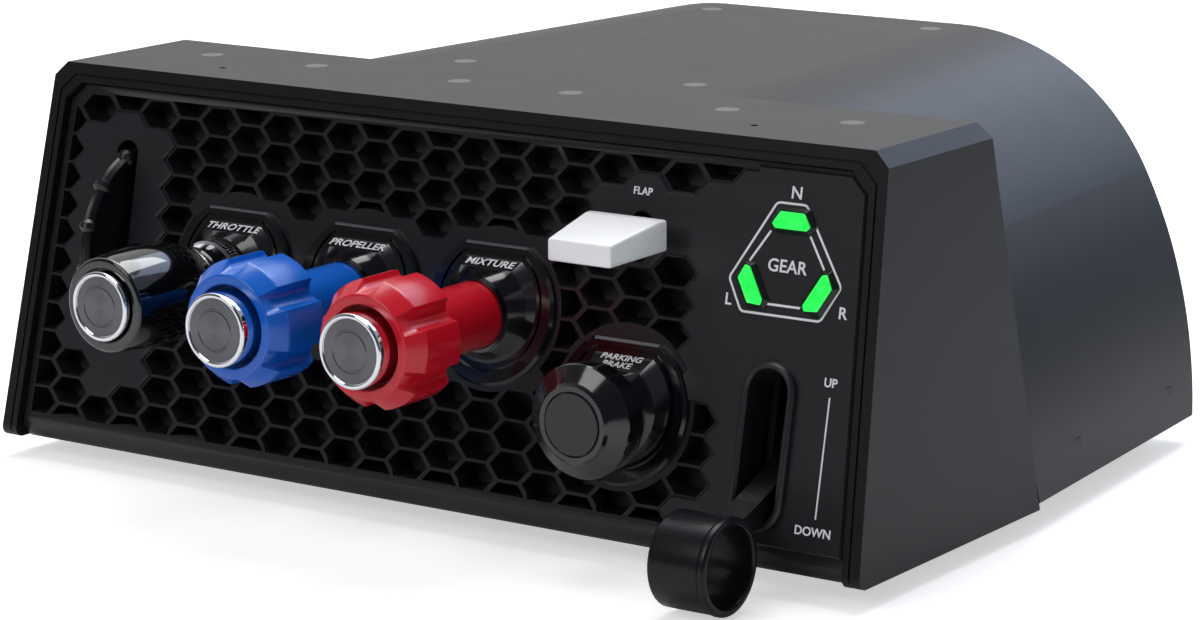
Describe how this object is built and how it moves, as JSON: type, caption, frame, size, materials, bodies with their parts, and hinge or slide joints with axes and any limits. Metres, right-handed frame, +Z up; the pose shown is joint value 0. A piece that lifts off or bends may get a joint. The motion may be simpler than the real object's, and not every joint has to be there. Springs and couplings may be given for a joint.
{
  "type": "throttle quadrant",
  "caption": "Desktop flight-control quadrant with push-pull throttle, propeller and mixture knobs, parking brake, gear and flap levers, trim wheel and gear lamps.",
  "frame": {"origin": "on the desk, under the middle of the whole unit's footprint", "axes": "+X to the right of someone using it, +Y to its rear, +Z up"},
  "size_m": [0.2996, 0.2882, 0.1175],
  "materials": {
    "housing_grey": "fine-textured dark grey moulded plastic",
    "panel_black": "satin black moulded honeycomb",
    "plate_black": "satin black raised plate",
    "boss_black": "gloss black moulded plastic",
    "knob_gloss_black": "high gloss black",
    "knob_blue": "gloss blue",
    "knob_red": "gloss red",
    "polished_metal": "polished metal",
    "knurled_metal": "fine knurled metal",
    "steel": "turned steel",
    "lens_green": "lit green lens",
    "handle_rubber": "soft black rim",
    "lever_black": "satin black lever",
    "paddle_white": "white moulded paddle",
    "wheel_black": "black moulded wheel with beads",
    "rubber": "soft black rubber",
    "screw_black": "blackened steel screws",
    "sheet_steel": "plated sheet steel",
    "inner_plastic": "moulded plastic inside",
    "circuit_board": "green circuit board",
    "base_black": "textured black base"
  },
  "bodies": {
    "root": {"hood_shell": "housing_grey", "rear_shell": "housing_grey", "rear_cover": "base_black", "base_plate": "base_black", "rubber_feet": "rubber", "top_screws": "screw_black", "base_screws": "screw_black", "cross_beam": "inner_plastic", "shell_ties": "sheet_steel", "main_board": "circuit_board", "usb_socket": "steel", "honeycomb_panel": "panel_black", "panel_backing": "inner_plastic", "trim_plate": "plate_black", "gear_plate": "plate_black", "gear_slot_rim": "plate_black", "gear_lamp_nose": "lens_green", "gear_lamp_left": "lens_green", "gear_lamp_right": "lens_green", "light_board": "circuit_board", "boss_throttle": "boss_black", "boss_propeller": "boss_black", "boss_mixture": "boss_black", "boss_brake": "boss_black", "slide_sensors": "sheet_steel", "rear_bushes": "inner_plastic", "bulkhead": "sheet_steel", "sensor_tray": "sheet_steel", "brake_bracket": "sheet_steel", "brake_switch": "inner_plastic", "trim_bracket": "inner_plastic", "trim_encoder": "inner_plastic", "gear_bracket": "inner_plastic", "gear_axle": "steel", "flap_bracket": "inner_plastic", "flap_axle": "steel"},
    "throttle": {"shaft_throttle": "steel", "carriage_throttle": "inner_plastic", "knob_throttle": "knob_gloss_black", "throttle_trim_ring": "polished_metal"},
    "throttle_button": {"button_throttle": "polished_metal"},
    "friction_lock": {"friction_ring": "knurled_metal", "friction_ring_cap": "polished_metal"},
    "propeller": {"shaft_propeller": "steel", "carriage_propeller": "inner_plastic"},
    "propeller_knob": {"knob_propeller": "knob_blue"},
    "propeller_button": {"button_propeller": "polished_metal"},
    "mixture": {"shaft_mixture": "steel", "carriage_mixture": "inner_plastic"},
    "mixture_knob": {"knob_mixture": "knob_red"},
    "mixture_button": {"button_mixture": "polished_metal"},
    "brake": {"shaft_brake": "steel", "knob_brake": "knob_gloss_black", "brake_cap": "polished_metal"},
    "trim": {"trim_wheel": "wheel_black", "trim_axle": "steel"},
    "gear": {"gear_lever": "lever_black", "gear_handle": "handle_rubber"},
    "flap": {"flap_lever": "lever_black", "flap_paddle": "paddle_white"}
  },
  "joints": [
    {"name": "throttle_slide", "type": "slide", "parent": "root", "child": "throttle", "axis": [0, -1, 0], "range_m": [0, 0.06]},
    {"name": "throttle_button_press", "type": "slide", "parent": "throttle", "child": "throttle_button", "axis": [0, 1, 0], "range_m": [0, 0.002], "stiffness_N_per_m": 600, "springref_m": -0.0015},
    {"name": "friction_lock_turn", "type": "hinge", "parent": "root", "child": "friction_lock", "pos_m": [-0.06924, -0.07975, 0.0632], "axis": [0, -1, 0], "range_deg": [0, 180]},
    {"name": "propeller_slide", "type": "slide", "parent": "root", "child": "propeller", "axis": [0, -1, 0], "range_m": [0, 0.06]},
    {"name": "propeller_twist", "type": "hinge", "parent": "propeller", "child": "propeller_knob", "pos_m": [-0.02308, -0.07975, 0.0632], "axis": [0, -1, 0], "continuous": true},
    {"name": "propeller_button_press", "type": "slide", "parent": "propeller_knob", "child": "propeller_button", "axis": [0, 1, 0], "range_m": [0, 0.003], "stiffness_N_per_m": 600, "springref_m": -0.0015},
    {"name": "mixture_slide", "type": "slide", "parent": "root", "child": "mixture", "axis": [0, -1, 0], "range_m": [0, 0.06]},
    {"name": "mixture_twist", "type": "hinge", "parent": "mixture", "child": "mixture_knob", "pos_m": [0.02308, -0.07975, 0.0632], "axis": [0, -1, 0], "continuous": true},
    {"name": "mixture_button_press", "type": "slide", "parent": "mixture_knob", "child": "mixture_button", "axis": [0, 1, 0], "range_m": [0, 0.003], "stiffness_N_per_m": 600, "springref_m": -0.0015},
    {"name": "parking_brake_slide", "type": "slide", "parent": "root", "child": "brake", "axis": [0, -1, 0], "range_m": [0, 0.025]},
    {"name": "trim_turn", "type": "hinge", "parent": "root", "child": "trim", "pos_m": [-0.1135, -0.06435, 0.06351], "axis": [1, 0, 0], "continuous": true},
    {"name": "gear_swing", "type": "hinge", "parent": "root", "child": "gear", "pos_m": [0.1156, -0.06549, 0.0341], "axis": [-1, 0, 0], "range_deg": [0, 61.8]},
    {"name": "flap_swing", "type": "hinge", "parent": "root", "child": "flap", "pos_m": [0.06924, -0.05316, 0.08249], "axis": [-1, 0, 0], "range_deg": [-9, 9]}
  ]
}
